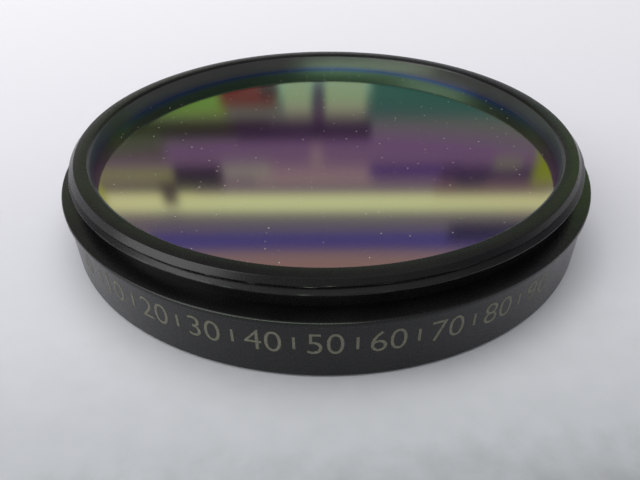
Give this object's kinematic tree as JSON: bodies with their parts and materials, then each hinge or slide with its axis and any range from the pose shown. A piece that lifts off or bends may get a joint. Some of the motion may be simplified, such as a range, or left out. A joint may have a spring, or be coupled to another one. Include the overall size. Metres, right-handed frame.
{
  "type": "optical bandpass filter",
  "caption": "Round threaded optical bandpass filter: a coated glass disc held in a thin black cell with a male thread above and a female one below.",
  "frame": {"origin": "centre of the cell's bottom face, on the optical axis", "axes": "+Z along the optical axis, from the female-threaded side to the male-threaded side"},
  "size_m": [0.0498, 0.0498, 0.0079],
  "materials": {
    "cell_anodised": "black anodised, satin, fine turned",
    "coated_glass": "polished, interference coated, mirror-like",
    "ring_anodised": "black anodised, satin"
  },
  "bodies": {
    "root": {"cell": "cell_anodised", "filter_glass": "coated_glass", "retaining_ring": "ring_anodised"}
  },
  "joints": []
}
